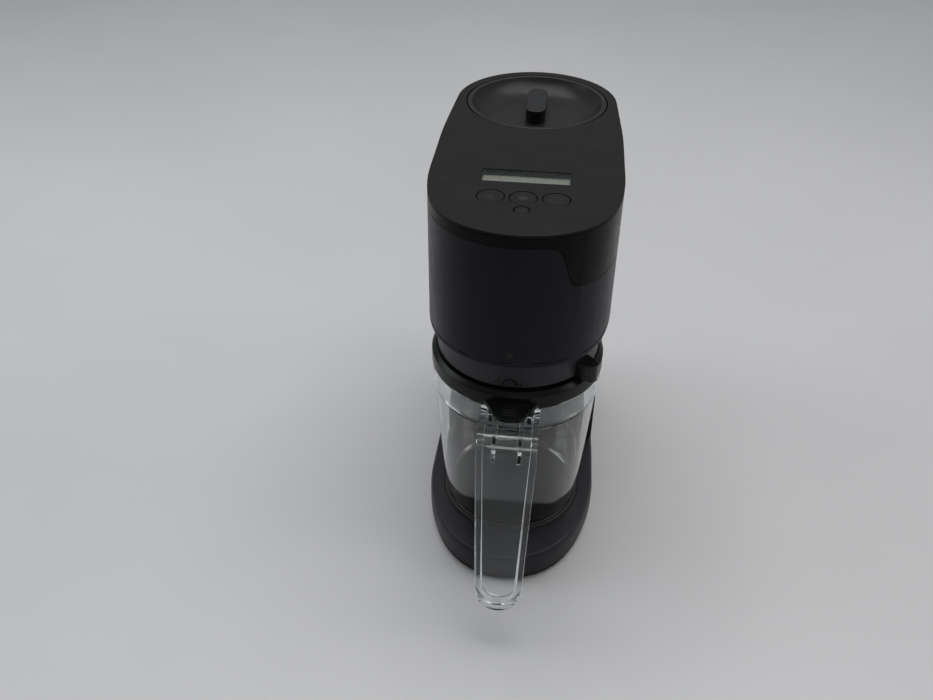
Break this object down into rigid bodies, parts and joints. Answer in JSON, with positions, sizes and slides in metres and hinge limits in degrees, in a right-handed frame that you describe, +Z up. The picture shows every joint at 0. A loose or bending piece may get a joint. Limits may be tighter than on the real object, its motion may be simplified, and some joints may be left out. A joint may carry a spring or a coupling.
{
  "type": "drip coffee maker with grinder",
  "caption": "Slim countertop drip coffee maker with a bean grinder, a round display panel, a turning filter holder and a lidded glass jug with a clear handle.",
  "frame": {"origin": "centre of the whole object's footprint, on the surface that it stands on", "axes": "+X to the machine's right, +Y to its back, +Z up"},
  "size_m": [0.1756, 0.4471, 0.3882],
  "materials": {
    "base_plastic": "fine satin grain",
    "foot_rubber": "matte",
    "under_plastic": "matte",
    "screw_steel": "satin",
    "plate_enamel": "non-stick satin",
    "seal_rubber": "matte",
    "element_aluminium": "cast satin",
    "thermostat_metal": "satin",
    "board_green": "solder mask",
    "pale_plastic": "satin",
    "hose_silicone": "translucent",
    "riser_steel": "satin",
    "cable_black": "satin",
    "column_plastic": "fine satin grain",
    "inner_plastic": "matte",
    "drum_plastic": "satin",
    "collar_plastic": "satin",
    "panel_plastic": "fine matte grain",
    "display_window": "clear, greenish",
    "display_module": "satin",
    "hopper_clear": "smoked clear plastic",
    "burr_steel": "ground",
    "motor_steel": "satin",
    "button_plastic": "fine matte grain",
    "lid_plastic": "satin",
    "seal_silicone": "matte",
    "holder_plastic": "satin",
    "lever_plastic": "satin gloss",
    "basket_plastic": "matte",
    "mesh_gold": "woven",
    "spring_steel": "bright",
    "jug_glass": "clear",
    "handle_clear": "clear acrylic",
    "jug_lid_plastic": "satin gloss",
    "pin_steel": "bright",
    "tank_smoke": "smoked clear plastic"
  },
  "bodies": {
    "chassis": {"base_housing": "base_plastic", "base_bottom_cover": "under_plastic", "rubber_feet": "foot_rubber", "base_screws": "screw_steel", "hot_plate": "plate_enamel", "hot_plate_seal": "seal_rubber", "heating_element": "element_aluminium", "thermostat": "thermostat_metal", "power_board": "board_green", "cord_gland": "cable_black", "check_valve": "pale_plastic", "inlet_hose": "hose_silicone", "column_housing": "column_plastic", "column_screws": "screw_steel", "riser_pipe": "riser_steel", "wire_loom": "cable_black", "tank_socket": "inner_plastic", "brew_deck": "inner_plastic", "drum_shell": "drum_plastic", "collar_panel": "collar_plastic", "top_panel": "panel_plastic", "lcd_window": "display_window", "lcd_module": "display_module", "control_board": "board_green", "button_switches": "pale_plastic", "bean_hopper": "hopper_clear", "upper_burr": "burr_steel", "grinder_housing": "inner_plastic", "grinder_gearbox": "inner_plastic", "grinder_motor": "motor_steel", "motor_cap": "inner_plastic", "grind_chute": "inner_plastic", "steam_hood": "inner_plastic", "shower_head": "inner_plastic"},
    "lid": {"bean_lid": "lid_plastic", "bean_lid_seal": "seal_silicone"},
    "burr": {"lower_burr": "burr_steel", "burr_shaft": "burr_steel"},
    "key_left": {"button_left": "button_plastic"},
    "key_centre": {"button_centre": "button_plastic"},
    "key_right": {"button_right": "button_plastic"},
    "key_small": {"button_small": "button_plastic"},
    "holder": {"filter_holder": "holder_plastic", "filter_lever": "lever_plastic", "filter_basket": "basket_plastic", "mesh_filter": "mesh_gold", "drip_spring": "spring_steel"},
    "drip_valve": {"drip_plunger": "pale_plastic"},
    "jug": {"jug_glass": "jug_glass", "jug_handle": "handle_clear", "jug_lid": "jug_lid_plastic", "jug_lid_pin": "pin_steel"},
    "tank": {"water_tank": "tank_smoke", "tank_lid": "column_plastic", "tank_valve": "pale_plastic"}
  },
  "joints": [
    {"name": "lid_lift", "type": "slide", "parent": "chassis", "child": "lid", "axis": [0, 0, 1], "range_m": [0, 0.06]},
    {"name": "burr_spin", "type": "hinge", "parent": "chassis", "child": "burr", "pos_m": [0, 0.143, 0.3], "axis": [0, 0, 1], "continuous": true},
    {"name": "press_left", "type": "slide", "parent": "chassis", "child": "key_left", "axis": [0, 0, -1], "range_m": [0, 0.0012], "stiffness_N_per_m": 500, "springref_m": -0.001},
    {"name": "press_centre", "type": "slide", "parent": "chassis", "child": "key_centre", "axis": [0, 0, -1], "range_m": [0, 0.0012], "stiffness_N_per_m": 500, "springref_m": -0.001},
    {"name": "press_right", "type": "slide", "parent": "chassis", "child": "key_right", "axis": [0, 0, -1], "range_m": [0, 0.0012], "stiffness_N_per_m": 500, "springref_m": -0.001},
    {"name": "press_small", "type": "slide", "parent": "chassis", "child": "key_small", "axis": [0, 0, -1], "range_m": [0, 0.0012], "stiffness_N_per_m": 500, "springref_m": -0.001},
    {"name": "holder_turn", "type": "hinge", "parent": "chassis", "child": "holder", "pos_m": [0, -0.043, 0.24], "axis": [0, 0, 1], "range_deg": [-38, 0]},
    {"name": "drip_lift", "type": "slide", "parent": "holder", "child": "drip_valve", "axis": [0, 0, 1], "range_m": [0, 0.003], "stiffness_N_per_m": 150, "springref_m": -0.002, "deforming": ["drip_spring"]},
    {"name": "jug_slide", "type": "slide", "parent": "chassis", "child": "jug", "axis": [0, -1, 0], "range_m": [0, 0.26]},
    {"name": "tank_slide", "type": "slide", "parent": "chassis", "child": "tank", "axis": [0, 1, 0], "range_m": [0, 0.15]}
  ]
}
